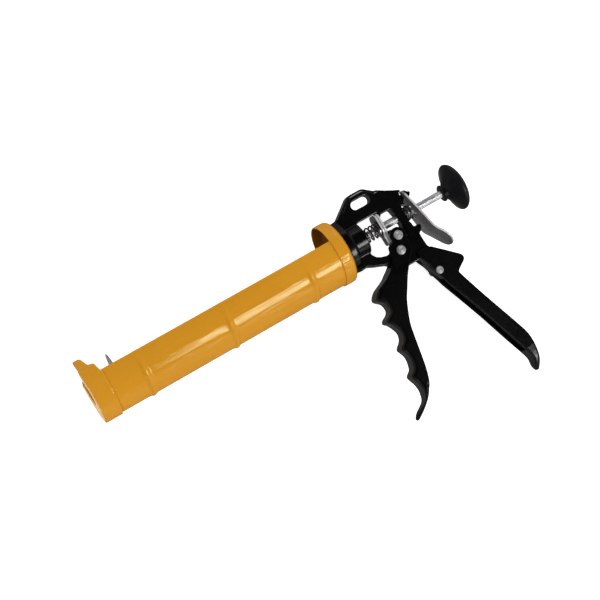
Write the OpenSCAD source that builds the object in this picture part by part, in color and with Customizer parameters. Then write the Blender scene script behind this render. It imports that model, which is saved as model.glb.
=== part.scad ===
// Caulking gun for 310 ml cartridges, with a swivelling half-round cradle,
// a cast frame and handle, a hexagonal push rod and a thumb release.
// Millimetres. The gun lies on its side: +X runs rearwards along the rod,
// +Y points to the open side of the cradle and the hood, and +Z is up, out of
// the gun's left side. The origin is on the rod's axis, at the inner face of
// the front cap, where the cartridge's shoulder seats.

/* [Cradle] */
// Outer radius of the half-round cradle
cradle_r = 26.25; // [25.9:0.05:26.25]
// Sheet thickness of the cradle
cradle_t = 0.8; // [0.6:0.1:1.0]
// Height of the cradle's long edges above the rod's axis
edge_h = 5.7; // [4.5:0.1:7]
// How far the cradle is turned on its swivel, in degrees
cradle_turn = 13; // [0:1:20]
// Height of the pressed stiffening beads
bead_h = 1.2; // [0.6:0.1:1.2]
// Radius of the nozzle slot in the front cap
slot_r = 10.8; // [9.5:0.1:11.5]

/* [Rod] */
// Width across flats of the hexagonal rod
rod_af = 6.35; // [6:0.05:6.35]
// Position of the piston's front face behind the front cap
piston_x = 23.4; // [23.4:0.5:60]
// Radius of the piston disc
piston_r = 19.9; // [18:0.1:23]
// Radius of the rear knob
knob_r = 20.8; // [18:0.1:22]

/* [Frame] */
// Half the thickness of the cast frame
frame_hz = 6; // [5:0.1:6]
// Half the width of the trigger
trigger_hz = 10; // [9.5:0.1:11]
// Half the width of the rear handle
handle_hz = 9.5; // [9:0.1:10.5]
// Radius of the round neck behind the cradle
neck_r = 13.9; // [12:0.1:15]

/* [Springs] */
// Wire diameter of the return spring
spring_wire = 1.4; // [1:0.1:1.6]
// Turns of the return spring
spring_turns = 4.25; // [3:0.25:4.25]

/* [Hidden] */

paint = "#d08e26";
casting = "#161616";
steel = "#b9bcc0";
zinc = "#a9a6ae";
plastic = "#1c1c22";

cradle_len = 222.5;          // front cap to the collar
collar_x0 = 220.5;           // front rim of the collar
collar_x1 = 232.2;           // rear face of the collar
collar_r = 27.35;
cap_r = 27.45;
flange_x0 = 232.5;           // front face of the frame's flange
neck_x1 = 253.5;             // rear face of the neck
rod_bore = 3.75;
pivot = [274.6, -23.8];      // trigger pivot
drive = [278.8, -11.9];      // drive pin, on the trigger
horn_rivet = [295.4, -53.8]; // rivet through handle and frame tongue
pin_at = [298, -42];         // blind pin through handle and frame tongue
plate_lean = 1.5;             // lean of the drive plates
rod_turn = -2;               // roll of the hexagon about its own axis
$fn = 64;

// Catmull-Rom curve through a closed ring of points.
function cr(a, b, c, d, t) = 0.5 * (2 * b + (c - a) * t
    + (2 * a - 5 * b + 4 * c - d) * t * t
    + (3 * b - a - 3 * c + d) * t * t * t);
function ring(p, n) = let(m = len(p)) [for (i = [0 : m - 1], k = [0 : n - 1])
    cr(p[(i + m - 1) % m], p[i], p[(i + 1) % m], p[(i + 2) % m], k / n)];
// The same through an open run of points.
function run(p, n) = let(m = len(p)) concat([for (i = [0 : m - 2], k = [0 : n - 1])
    cr(p[max(i - 1, 0)], p[i], p[i + 1], p[min(i + 2, m - 1)], k / n)], [p[m - 1]]);

// Solid between z = -h and z = h over a flat outline.
module slab(h) { translate([0, 0, -h]) linear_extrude(2 * h) children(); }
// Turned body about the rod's axis: the outline gives x and radius.
module turned(p) { rotate([0, 90, 0]) rotate_extrude($fn = 96)
    polygon([for (q = p) [q[1], q[0]]]); }
// Hexagonal or round bar along X.
module bar_x(r, x0, x1, fn = 48) { translate([x0, 0, 0]) rotate([0, 90, 0])
    cylinder(r = r, h = x1 - x0, $fn = fn); }
module pin_z(p, r, z0, z1) { translate([p[0], p[1], z0])
    cylinder(r = r, h = z1 - z0, $fn = 48); }
module in_cradle() { rotate([-cradle_turn, 0, 0]) children(); }

// Wire swept along a helix about X from x0 to x1. The ends close up flat.
function helix_u(s, turns) = let(d = 0.75 / turns)
    s < d ? 0.10 * s / d : s > 1 - d ? 0.90 + 0.10 * (s - 1 + d) / d
    : 0.10 + 0.80 * (s - d) / (1 - 2 * d);
module coil(x0, x1, r0, r1, w, turns, start = 0) {
    n = round(turns * 20); m = 8;
    pts = [for (i = [0 : n]) let(s = i / n, a = start + 360 * turns * s,
        r = r0 + (r1 - r0) * s, x = x0 + w / 2 + (x1 - x0 - w) * helix_u(s, turns))
        for (k = [0 : m - 1]) let(b = 360 * k / m, rr = r + w / 2 * cos(b))
        [x + w / 2 * sin(b), rr * cos(a), rr * sin(a)]];
    faces = concat([[for (k = [0 : m - 1]) k]],
        [for (i = [0 : n - 1], k = [0 : m - 1])
            [i * m + k, (i + 1) * m + k, (i + 1) * m + (k + 1) % m, i * m + (k + 1) % m]],
        [[for (k = [m - 1 : -1 : 0]) n * m + k]]);
    polyhedron(pts, faces, convexity = 8);
}

// Pressed sheet cradle, a little over half round, with three beads that are
// deepest underneath and die out towards the two long edges.
bead_drop = 0.82 * bead_h;
module bead_ring(x, r, h) translate([0, -bead_drop, 0]) turned([[x - 4.2, r - 3],
    [x - 4.2, r - bead_drop], [x - 2.6, r - bead_drop + h * 0.6], [x - 1, r + h - bead_drop],
    [x + 1, r + h - bead_drop], [x + 2.6, r - bead_drop + h * 0.6],
    [x + 4.2, r - bead_drop], [x + 4.2, r - 3]]);
bead_x = [42.2, 118.2, 193.6];
module barrel_trough() color(paint) in_cradle() difference() {
    union() {
        turned([[0, cradle_r - cradle_t], [0, cradle_r], [cradle_len, cradle_r],
            [cradle_len, cradle_r - cradle_t]]);
        for (x = bead_x) bead_ring(x, cradle_r, bead_h);
    }
    turned([[-1, 0], [-1, cradle_r - cradle_t], [cradle_len + 1, cradle_r - cradle_t],
        [cradle_len + 1, 0]]);
    for (x = bead_x) translate([0, -bead_drop, 0]) turned([[x - 4, 0],
        [x - 4, cradle_r - cradle_t - bead_drop], [x - 2.6, cradle_r - cradle_t - bead_drop + bead_h * 0.5],
        [x - 1, cradle_r - cradle_t - bead_drop + bead_h - 0.1], [x + 1, cradle_r - cradle_t - bead_drop + bead_h - 0.1],
        [x + 2.6, cradle_r - cradle_t - bead_drop + bead_h * 0.5], [x + 4, cradle_r - cradle_t - bead_drop], [x + 4, 0]]);
    translate([-5, edge_h, -40]) cube([250, 60, 80]);
}

// Deep collar behind the cradle, with the swivel hole in its rear plate.
module barrel_collar() color(paint) in_cradle() turned([
    [collar_x0, cradle_r + 0.05], [collar_x0, collar_r], [228.8, collar_r],
    [230.5, collar_r - 0.6], [231.7, collar_r - 1.8], [collar_x1, collar_r - 3.6],
    [collar_x1, 12.05], [230.8, 12.05], [230.8, cradle_r - 2.5],
    [230.2, cradle_r - 0.9], [229, cradle_r + 0.05]]);

// Drawn front cap: a short cup round the cradle with a front plate, a nozzle
// slot that is open at the top, and a horn each side.
module cap_cut() {
    translate([0, 0, -40]) linear_extrude(80) polygon(concat([[-10, 24.7], [3.2, 24.7]],
        run([[3.8, 24.2], [4.9, 21.5], [5.5, 18.5], [6.2, 15.6], [7.4, 14.2], [9, 14],
        [10.4, 13.6], [11.3, 12.4], [11.8, 9.6], [12.7, 5.7]], 4), [[30, 5.7], [30, 40], [-10, 40]]));
    translate([0, 0, -40]) linear_extrude(80) polygon([[-10, 14.2], [0, 14.2], [0, 30], [-10, 30]]);
}
module slot_shape(r) { union() { bar_x(r, -6, 3, 64);
    translate([-6, 0, -r]) cube([9, 60, 2 * r]); } }
module front_cap() color(paint) in_cradle() difference() {
    union() {
        // the stop face stands 0.2 proud of the seat for the cradle's edge
        turned([[-0.8, cap_r], [13.2, cap_r], [13.2, cradle_r + 0.05],
            [-0.2, cradle_r + 0.05], [-0.2, cradle_r - cradle_t - 0.35],
            [0, cradle_r - cradle_t - 0.45], [0, 0], [-1.6, 0], [-1.6, cap_r - 1.6], [-1.4, cap_r - 0.7]]);
    }
    slot_shape(slot_r);
    cap_cut();
}

// Snap ring that holds the swivelling cradle on the frame's spigot.
module retaining_ring() color(steel) difference() {
    bar_x(14.6, 229.2, 230.5, 64);
    bar_x(11.02, 229, 231, 64);
    translate([228, 0, -2.6]) cube([4, 20, 5.2]);
}

// Cast frame: spigot, flange and neck for the cradle, a hood with a hanging
// slot over an open window, the rear wall, and a tongue into the handle.
module frame_outline() polygon([
    [234, 22.3], [237.6, 22.8], [241, 23.4], [249.5, 29.6], [256.8, 35], [258.6, 35.9],
    [260.5, 36.2], [269.6, 36.2], [271.6, 35.8], [273.4, 34.7], [280, 29.7], [282.3, 29.2],
    [288.7, 25.6], [295.4, 22.3], [299.4, 20.6], [300.2, 19.9], [300.1, 18.9], [298.1, 18.6], [298.1, 8], [297.4, 7.3],
    [294.6, 7.3], [294.6, -7.2], [295.2, -8.2], [295.6, -11.6], [296.5, -12.3], [301.1, -12.3],
    [301.6, -13], [301.5, -15], [299.8, -17.9], [297.3, -19.4], [297.3, -24.6], [297.9, -31.1], [299.2, -33.2],
    [303.5, -40], [305, -46], [302, -54], [303, -62], [296.5, -62], [291, -50],
    [288.6, -40.5], [286.4, -38.3], [277.5, -38.4], [273, -38.5], [267.6, -36.8],
    [264.4, -34.4], [262.2, -31], [259.6, -29], [250.8, -25.6], [244.4, -22.6], [238, -23.2], [234, -22.3]]);
module window_outline() polygon([
    [250.8, 12.6], [273, 12.6], [273.7, 11.8], [273.9, 8.9], [274.5, 8.2], [275.3, 9.4],
    [275.9, 9.7], [284.6, 9.7], [285.5, 8.9], [286.7, 3.7], [287.7, -5.7], [287.6, -15],
    [285.5, -17.6], [282.4, -18.6], [279.8, -18.2], [277.4, -17.2], [274.6, -16.7], [272.4, -17.3],
    [270.9, -18.9], [270, -20.9], [267.6, -22.4], [262.6, -22.1], [258.2, -20.9], [254.6, -19], [252.2, -15.6], [251.6, -12.2],
    [253.6, -6.8], [253.5, -6], [250.8, -6]]);
module frame_casting() color(casting) difference() {
    union() {
        difference() {
            union() {
                slab(frame_hz) frame_outline();
                turned([[flange_x0, 0], [flange_x0, 22.6], [237.6, 22.6], [238.4, 22],
                    [238.4, 0]]);
                turned([[238, 0], [238, neck_r + 1.6], [240.5, neck_r], [253, neck_r],
                    [neck_x1, neck_r - 0.5], [neck_x1, 0]]);
            }
            difference() {
                slab(frame_hz + 1) window_outline();
                bar_x(neck_r - 0.5, 230, neck_x1, 64);
            }
            // hanging slot
            hull() { pin_z([259.7, 26.7], 4.15, -12, 12); pin_z([271.5, 26.7], 4.15, -12, 12); }
        }
        // spigot that the cradle swivels on
        turned([[227, 0], [227, 11.4], [227.6, 11.98], [229.15, 11.98], [229.15, 11],
            [230.55, 11], [230.55, 11.98], [flange_x0 + 1, 11.98], [flange_x0 + 1, 0]]);
        // hook that holds the release lever
        slab(2.7) polygon([[290, 16], [290, 11], [303.6, 11], [303.6, 16]]);
        slab(4.5) polygon([[301.6, 18.2], [303, 18.4], [304.6, 17.6], [305.8, 16], [307.8, 15.2],
            [307.9, 14.2], [306.3, 11.8], [304.6, 11], [303, 11]]);
    }
    bar_x(rod_bore, 220, 300, 64);
    pin_z(pivot, 2.55, -12, 12);
    pin_z(horn_rivet, 2.02, -12, 12);
    pin_z(pin_at, 1.52, -12, 12);
}

// Cast rear handle: a channel, open at the front, forked over the tongue.
handle_pts = [[288, -41.8], [290.6, -47], [292.5, -53.6], [295.2, -61.2], [304.2, -83.9],
    [313.3, -106.8], [322.6, -132.3], [329.6, -151], [331, -158], [329.8, -163.6],
    [330, -167.4], [332, -168.2], [334, -163.9], [336.2, -157], [337.3, -147], [336.6, -136.5], [333, -125.5],
    [324, -102.4], [315, -79], [310.6, -67]];
module handle_outline() polygon(concat(run([for (i = [0 : 10]) handle_pts[i]], 4),
    run([for (i = [11 : 19]) handle_pts[i]], 4),
    [[309.6, -63.2], [311, -61.6], [318.8, -56.7], [319.9, -54.6], [319.9, -52.8],
     [318.8, -51], [309.2, -42.2], [301.2, -35.2], [299.6, -33.6], [298.6, -33.2],
     [293, -31.6], [286.4, -32.5], [285.6, -36.5]]));
// Plan of a grip's tip, narrowing in width towards its end at p.
module tip_plan(p, turn, w) { translate([p[0], p[1], 0]) rotate([0, 0, turn])
    rotate([90, 0, 0]) translate([0, 0, -100]) linear_extrude(200) polygon([[0, 0.8], [0.5, 1.9],
        [2, 3.1], [4.2, 4.4], [8.4, 6.1], [15, 8.1], [22, w + 0.1], [240, w + 0.1], [240, -w - 0.1],
        [22, -w - 0.1], [15, -8.1], [8.4, -6.1], [4.2, -4.4], [2, -3.1], [0.5, -1.9], [0, -0.8]]); }
module rear_handle() color(casting) difference() {
    intersection() {
        slab(handle_hz) handle_outline();
        tip_plan([331, -168.4], 99, handle_hz);
    }
    // slot for the frame's tongue
    slab(frame_hz + 0.03) polygon([[270, -20], [310, -20], [310, -43], [306.6, -44], [306, -46],
        [304, -54], [305, -63.5], [290, -63.5], [270, -40]]);
    // channel between the side walls
    slab(handle_hz - 3.4) polygon([[280, -60], [303.5, -63], [307.3, -70], [311, -80],
        [320, -103], [329, -127], [331.6, -137], [332, -146], [326, -150], [300, -110]]);
    pin_z(horn_rivet, 2.02, -12, 12);
    pin_z(pin_at, 1.52, -12, 12);
}
module dome_z(p, r, z, h, s) { translate([p[0], p[1], z]) mirror([0, 0, s < 0 ? 1 : 0])
    rotate_extrude($fn = 48) polygon([[0, 0], [r, 0], [r, h * 0.35], [r * 0.88, h * 0.7],
        [r * 0.66, h * 0.93], [r * 0.4, h], [0, h]]); }
module rivet(p, shaft_r, head_r, hz, h) { pin_z(p, shaft_r, -hz, hz);
    dome_z(p, head_r, hz, h, 1); dome_z(p, head_r, -hz, h, -1); }
module handle_rivet() color(steel) rivet(horn_rivet, 2, 3.25, handle_hz, 1.3);
module handle_pin() color(casting) pin_z(pin_at, 1.5, 0.3 - handle_hz, handle_hz - 0.3);

// Cast trigger: a channel, open at the rear, with four finger grips, and two
// ears that straddle the frame.
trigger_front = [[262.5, -30.9], [258, -34.4], [251.2, -38.9], [241.8, -43], [238, -46.4],
    [236.3, -49.6], [238.2, -52.2], [241.3, -55], [242.8, -59.8], [242, -63.6], [239.4, -65.9],
    [236, -67.8], [234.8, -70.2], [237.6, -73.1], [239.9, -77.3], [241.6, -82.2], [241.2, -86.4],
    [239.4, -89.8], [235.8, -93], [234.6, -95.5], [236.1, -98.8], [237.4, -103], [237, -108.7],
    [235.3, -114], [231.8, -116.9], [230.7, -119.4], [233.2, -126], [234.1, -131.9],
    [233.6, -136], [231.6, -140.9], [226.9, -144.2], [222.2, -146.6], [219.1, -149.2]];
trigger_rear = [[218, -150.9], [218.9, -152], [222.4, -149.8], [226.8, -146.3], [232.6, -140.6],
    [237.4, -134.2], [240.6, -128.2], [243.8, -117.6], [246, -105.4], [248.7, -89.2],
    [250.5, -80.1], [253.7, -71.2], [258, -61.4], [262.1, -54.9], [266.4, -48.3], [270.7, -42.6], [273.2, -39.4]];
module trigger_outline() { union() {
    polygon(concat(run(trigger_front, 3), run(trigger_rear, 3), [[279, -33], [283, -27.5],
        [284.4, -23], [285.2, -15], [278.8, -11.9], [266.5, -17]]));
    translate(drive) circle(r = 6.9, $fn = 64);
    translate([275, -23.4]) circle(r = 9.4, $fn = 64);
} }
module trigger() color(casting) difference() {
    intersection() {
        slab(trigger_hz) trigger_outline();
        tip_plan([218.2, -152], 52, trigger_hz);
    }
    // room for the frame between the ears, and the channel down the back
    slab(frame_hz + 0.35) polygon([[256, 0], [292, 0], [292, -44], [276, -44], [268, -52],
        [262, -62], [256, -74], [253, -90], [250, -106], [246, -122], [239, -124],
        [236.5, -119.5], [240, -114], [241.4, -104], [239, -95.5], [243.6, -90], [245.6, -82],
        [240, -70.4], [244.6, -66], [246.8, -59.6], [241, -50], [244, -46.4], [253, -42.2],
        [260, -37.4], [262.6, -33.4], [261.5, -29.5], [256, -27]]);
    pin_z(pivot, 15.5, -frame_hz - 0.35, frame_hz + 0.35);
    // the ears are flush-faced below the arm's full width
    for (s = [-1, 1]) translate([0, 0, s > 0 ? 9.4 : -12.4]) linear_extrude(3)
        polygon([[262, 0], [290, 0], [290, -34], [279, -34], [268, -33.5], [262, -27]]);
    // the ear on the right side is smaller
    translate([0, 0, -13]) linear_extrude(6.8) polygon([[250, 5], [250, -26.4], [266.4, -26.4],
        [268.6, -23.6], [271, -21], [272.8, -17.2], [274.4, -13], [274.4, -9], [276.4, -5.4], [276.4, 5]]);
    pin_z(pivot, 2.58, -12, 12);
    pin_z(drive, 2.52, -12, 12);
}
module trigger_pivot_rivet() color(steel) rivet(pivot, 2.5, 4.05, 9.5, 1.5);
module drive_pin_rivet() color(steel) rivet(drive, 2.5, 4.05, 9.4, 1.5);
module drive_roller() color(steel) difference() {
    pin_z(drive, 4.2, -6, 6);
    pin_z(drive, 2.56, -8, 8);
}

// Two hardened plates that grip the rod when the trigger tilts and pushes them.
module plate_shape(x, t) { difference() {
    translate([x, 12.3, 0]) rotate([0, 0, plate_lean]) translate([0, -12.3, 0])
    rotate([0, 90, 0]) linear_extrude(t) union() {
        hull() { for (s = [-1, 1]) { translate([s * 4, 7.7]) circle(r = 4.5, $fn = 32);
            translate([s * 3.4, -1.6]) circle(r = 5.1, $fn = 32); } }
        translate([-4.5, -14]) square([9, 12]);
        hull() for (s = [-1, 1]) translate([s * 2.5, -13.7]) circle(r = 2, $fn = 24);
    }
    bar_x(4.15, x - 8, x + 12, 48);
} }
module drive_plate_front() color(steel) plate_shape(268.6, 2.1);
module drive_plate_rear() color(steel) plate_shape(270.8, 2.1);

// Thin washer between the spring and the plates.
module spring_seat() color(steel) difference() {
    bar_x(6.9, 267.7, 268.5, 48);
    bar_x(3.9, 267, 269, 48);
}
module return_spring() color(steel) coil(neck_x1, 267.7, 5.7, 5.7, spring_wire, spring_turns, 40);
module brake_spring() color(steel) coil(294.6, 300.9, 6.0, 5.4, 1.3, 2.75, 100);

// Thumb release: a bent plate with a broad rounded pad.
lever_mid = [[298.9, 18.2], [300.8, 9.6], [303.1, -1], [305.3, -12], [306.6, -18], [308.3, -22.4],
    [311.9, -27.4], [315.2, -33], [317, -37.6], [317.7, -40.8]];
module release_lever() color(steel) difference() {
    intersection() {
        slab(20) polygon(concat(run(lever_mid, 3),
            [for (i = [9 : -1 : 0]) lever_mid[i] + (i > 7 ? [1.95, 0.5] : i > 4 ? [1.75, 0.95] : [1.95, 0.4])]));
        translate([280, 0, 0]) rotate([0, 90, 0]) linear_extrude(60) polygon(concat(
            [[-15, -10], [-13.2, 6], [-12, 16.8], [-10.2, 18.6], [10.2, 18.6], [12, 16.8],
            [13.2, 6], [15, -10]], [for (i = [0 : 24]) [16.4 * cos(7.5 * i), -24.4 - 16.6 * sin(7.5 * i)]]));
    }
    bar_x(4.35, 290, 320, 48);
    translate([290, 10.6, -3.1]) cube([20, 20, 6.2]);
}

// Hexagonal push rod with a turned front end, piston parts and rear knob.
module push_rod() color(steel) union() {
    rotate([rod_turn, 0, 0]) bar_x(rod_af / sqrt(3), piston_x + 2.6, 345, 6);
    bar_x(2.95, piston_x - 3.6, piston_x + 3, 48);
}
module piston_disc() color(zinc) turned([[piston_x, 3], [piston_x, 11], [piston_x + 0.5, 12],
    [piston_x + 0.5, piston_r], [piston_x + 1.2, piston_r], [piston_x + 1.2, 11.8],
    [piston_x + 0.8, 11], [piston_x + 0.8, 3]]);
module piston_backing() color(zinc) turned([[piston_x + 0.8, 3], [piston_x + 0.8, 9.6],
    [piston_x + 2.4, 9], [piston_x + 2.4, 3]]);
module piston_nut() color(steel) difference() {
    rotate([10, 0, 0]) bar_x(5.5, piston_x - 3.2, piston_x, 6);
    bar_x(2.98, piston_x - 4, piston_x + 1, 48);
}
module rear_knob() color(plastic) difference() {
    turned([[332.2, 0], [332.2, 6], [332.5, 6.9], [333.3, 7.3], [334.2, 7], [335, 6.5],
        [336.4, 7], [338.6, 9.8], [341.2, 14.4], [343, 18.6], [343.9, 20.2], [345, knob_r],
        [346.3, knob_r - 0.2], [348, 19.4], [349.8, 16.4], [351.4, 11.4], [352.2, 6], [352.5, 0]]);
    bar_x(3.7, 325, 345.05, 48);
}

barrel_trough();
barrel_collar();
front_cap();
retaining_ring();
frame_casting();
rear_handle();
handle_rivet();
handle_pin();
trigger();
trigger_pivot_rivet();
drive_pin_rivet();
drive_roller();
drive_plate_front();
drive_plate_rear();
spring_seat();
return_spring();
release_lever();
brake_spring();
push_rod();
rear_knob();
piston_disc();
piston_backing();
piston_nut();
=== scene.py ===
import math

import bmesh
import bpy
import numpy as np
from mathutils import Matrix, Vector


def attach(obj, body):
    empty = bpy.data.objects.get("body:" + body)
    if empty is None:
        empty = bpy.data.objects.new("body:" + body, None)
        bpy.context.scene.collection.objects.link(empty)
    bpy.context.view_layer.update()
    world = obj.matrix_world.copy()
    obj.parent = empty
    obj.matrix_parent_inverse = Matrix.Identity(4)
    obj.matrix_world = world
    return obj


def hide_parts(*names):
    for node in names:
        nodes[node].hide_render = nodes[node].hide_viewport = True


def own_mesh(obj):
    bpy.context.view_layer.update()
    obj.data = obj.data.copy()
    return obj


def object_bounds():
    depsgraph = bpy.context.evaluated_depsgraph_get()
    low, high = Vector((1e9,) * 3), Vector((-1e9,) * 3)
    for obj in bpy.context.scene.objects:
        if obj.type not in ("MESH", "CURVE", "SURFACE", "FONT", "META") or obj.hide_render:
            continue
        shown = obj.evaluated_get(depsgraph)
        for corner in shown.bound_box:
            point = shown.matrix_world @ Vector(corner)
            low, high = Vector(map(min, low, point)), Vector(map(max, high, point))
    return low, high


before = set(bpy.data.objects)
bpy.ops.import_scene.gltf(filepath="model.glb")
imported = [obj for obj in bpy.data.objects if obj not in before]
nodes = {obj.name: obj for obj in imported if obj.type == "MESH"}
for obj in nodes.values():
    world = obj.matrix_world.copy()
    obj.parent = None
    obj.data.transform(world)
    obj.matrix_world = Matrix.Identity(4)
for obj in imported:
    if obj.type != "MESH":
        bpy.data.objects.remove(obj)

cad_box = [list(c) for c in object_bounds()]
MM = 0.001
scene = bpy.context.scene

# ------------------------------------------------------------------ numbers
TURN = math.radians(13)           # the cradle's turn on its swivel
R_OUT, T_SHEET, EDGE_H = 26.25, 0.8, 5.7
BEADS = (42.2, 118.2, 193.6)
PIVOT, DRIVE, HORN = (274.6, -23.8), (278.8, -11.9), (295.4, -53.8)
PISTON_X, PISTON_R = 23.4, 19.9
ROLL = math.radians(28)           # the hexagonal rod's roll


# ------------------------------------------------------------------ helpers
def mesh_object(name, verts, faces, material, smooth=True, angle=None):
    me = bpy.data.meshes.new(name)
    v = np.asarray(verts, float) * MM
    me.from_pydata(v.tolist(), [], [tuple(int(i) for i in f) for f in faces])
    me.validate()
    me.update()
    bm = bmesh.new()
    bm.from_mesh(me)
    if bm.calc_volume(signed=True) < 0:
        bmesh.ops.reverse_faces(bm, faces=bm.faces)
        bm.to_mesh(me)
        me.update()
    bm.free()
    ob = bpy.data.objects.new(name, me)
    scene.collection.objects.link(ob)
    me.materials.append(material)
    for p in me.polygons:
        p.use_smooth = smooth
    if angle is not None:
        me.set_sharp_from_angle(angle=math.radians(angle))
    return ob


def cr(a, b, c, d, t):
    return 0.5 * (2 * b + (c - a) * t + (2 * a - 5 * b + 4 * c - d) * t * t
                  + (3 * b - a - 3 * c + d) * t ** 3)


def run(points, n):
    p = [np.array(q, float) for q in points]
    m, out = len(p), []
    for i in range(m - 1):
        for k in range(n):
            out.append(cr(p[max(i - 1, 0)], p[i], p[i + 1], p[min(i + 2, m - 1)], k / n))
    out.append(p[-1])
    return [tuple(q) for q in out]


def poly_sdf(pts, x, y):
    """Signed distance to a closed polygon, negative inside."""
    p = np.asarray(pts, float)
    best = np.full(x.shape, 1e18)
    inside = np.zeros(x.shape, bool)
    n = len(p)
    for i in range(n):
        ax, ay = p[i]
        bx, by = p[(i + 1) % n]
        ex, ey = bx - ax, by - ay
        wx, wy = x - ax, y - ay
        ll = ex * ex + ey * ey
        if ll < 1e-12:
            continue
        t = np.clip((wx * ex + wy * ey) / ll, 0, 1)
        dx, dy = wx - ex * t, wy - ey * t
        best = np.minimum(best, dx * dx + dy * dy)
        cond = (ay > y) != (by > y)
        if ey != 0:
            inside ^= cond & (x < ex * (y - ay) / ey + ax)
    d = np.sqrt(best)
    return np.where(inside, -d, d)


def line_dist(pts, x, y):
    """Distance to an open polyline."""
    best = np.full(x.shape, 1e18)
    for (ax, ay), (bx, by) in zip(pts[:-1], pts[1:]):
        ex, ey = bx - ax, by - ay
        wx, wy = x - ax, y - ay
        t = np.clip((wx * ex + wy * ey) / max(ex * ex + ey * ey, 1e-12), 0, 1)
        best = np.minimum(best, (wx - ex * t) ** 2 + (wy - ey * t) ** 2)
    return np.sqrt(best)


def prism(d2, z, h, r):
    """Distance to a flat outline of half height h, its edges rounded by r."""
    a, b = d2 + r, np.abs(z) - h + r
    return np.hypot(np.maximum(a, 0), np.maximum(b, 0)) + np.minimum(np.maximum(a, b), 0) - r


def smin(a, b, k):
    h = np.clip(0.5 + 0.5 * (b - a) / k, 0, 1)
    return b + (a - b) * h - k * h * (1 - h)


def smax(a, b, k):
    return -smin(-a, -b, k)


def sstep(a, b, x):
    t = np.clip((x - a) / (b - a), 0, 1)
    return t * t * (3 - 2 * t)


def axes(lo, hi, step):
    return [np.arange(l - 2 * step, h + 2.5 * step, step) for l, h in zip(lo, hi)]


def nets(f, lo, step):
    """Naive surface nets: one smooth quad mesh where f crosses zero."""
    s = f < 0
    c = [(i, j, k) for i in (0, 1) for j in (0, 1) for k in (0, 1)]
    nx, ny, nz = f.shape
    tot = sum(s[i:nx - 1 + i, j:ny - 1 + j, k:nz - 1 + k].astype(np.int8) for i, j, k in c)
    act = (tot > 0) & (tot < 8)
    idx = np.full(act.shape, -1, np.int64)
    cells = np.argwhere(act)
    idx[act] = np.arange(len(cells))
    pos, cnt = np.zeros((len(cells), 3)), np.zeros(len(cells))
    for a in c:
        for ax in range(3):
            if a[ax]:
                continue
            b = list(a)
            b[ax] = 1
            ia, ib = cells + np.array(a), cells + np.array(b)
            fa = f[ia[:, 0], ia[:, 1], ia[:, 2]]
            fb = f[ib[:, 0], ib[:, 1], ib[:, 2]]
            m = (fa < 0) != (fb < 0)
            t = np.where(m, fa / np.where(m, fa - fb, 1), 0)
            p = cells + np.array(a, float)
            p[:, ax] += t
            pos[m] += p[m]
            cnt[m] += 1
    pos = pos / cnt[:, None] * step + np.array(lo)
    quads = []
    for ax in range(3):
        o1, o2 = (ax + 1) % 3, (ax + 2) % 3
        sl = [slice(1, -1)] * 3
        sl[ax] = slice(0, -1)
        sh = list(sl)
        sh[ax] = slice(1, None)
        m = s[tuple(sl)] != s[tuple(sh)]
        e = np.argwhere(m)
        e[:, o1] += 1
        e[:, o2] += 1
        first = s[e[:, 0], e[:, 1], e[:, 2]]

        def cell(d1, d2):
            q = e.copy()
            q[:, o1] -= d1
            q[:, o2] -= d2
            return idx[q[:, 0], q[:, 1], q[:, 2]]

        q = np.stack([cell(1, 1), cell(0, 1), cell(0, 0), cell(1, 0)], 1)
        q[~first] = q[~first][:, ::-1]
        quads.append(q)
    return pos, np.concatenate(quads)


def smooth_verts(v, q, rounds, k=0.5):
    """A few Taubin passes, which take the grid's steps out and keep the size."""
    n = len(v)
    e = np.concatenate([q[:, [0, 1]], q[:, [1, 2]], q[:, [2, 3]], q[:, [3, 0]]])
    a = np.concatenate([e[:, 0], e[:, 1]])
    b = np.concatenate([e[:, 1], e[:, 0]])
    deg = np.bincount(a, minlength=n)[:, None]
    for i in range(rounds):
        for lam in (k, -k * 1.04):
            s = np.stack([np.bincount(a, weights=v[b, j], minlength=n) for j in range(3)], 1)
            v = v + lam * (s / deg - v)
    return v


def sdf_object(name, fn, lo, hi, step, material, rounds=3, place=None):
    ax = axes(lo, hi, step)
    x, y, z = np.meshgrid(*ax, indexing="ij")
    f = fn(x, y, z)
    v, q = nets(f, [a[0] for a in ax], step)
    v = smooth_verts(v, q, rounds)
    if place is not None:
        v = place(v)
    return mesh_object(name, v, q, material)


def lathe(profile, n=96, a0=0.0, a1=2 * math.pi, closed=True):
    """Turns a profile of (x, radius) about the X axis. Returns verts, faces."""
    verts, faces = [], []
    m = len(profile)
    full = abs(a1 - a0 - 2 * math.pi) < 1e-6
    cols = n if full else n + 1
    for i in range(cols):
        a = a0 + (a1 - a0) * i / n
        c, s = math.cos(a), math.sin(a)
        verts += [(x, r * c, r * s) for x, r in profile]
    for i in range(n):
        j = (i + 1) % cols
        for k in range(m if closed else m - 1):
            l = (k + 1) % m
            faces.append((i * m + k, j * m + k, j * m + l, i * m + l))
    if not full and closed:
        faces.append(tuple(range(m))[::-1])
        faces.append(tuple((cols - 1) * m + k for k in range(m)))
    return verts, faces


def arc(cx, cr_, r, a0, a1, n=6):
    return [(cx + r * math.cos(math.radians(a0 + (a1 - a0) * i / n)),
             cr_ + r * math.sin(math.radians(a0 + (a1 - a0) * i / n))) for i in range(n + 1)]


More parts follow.
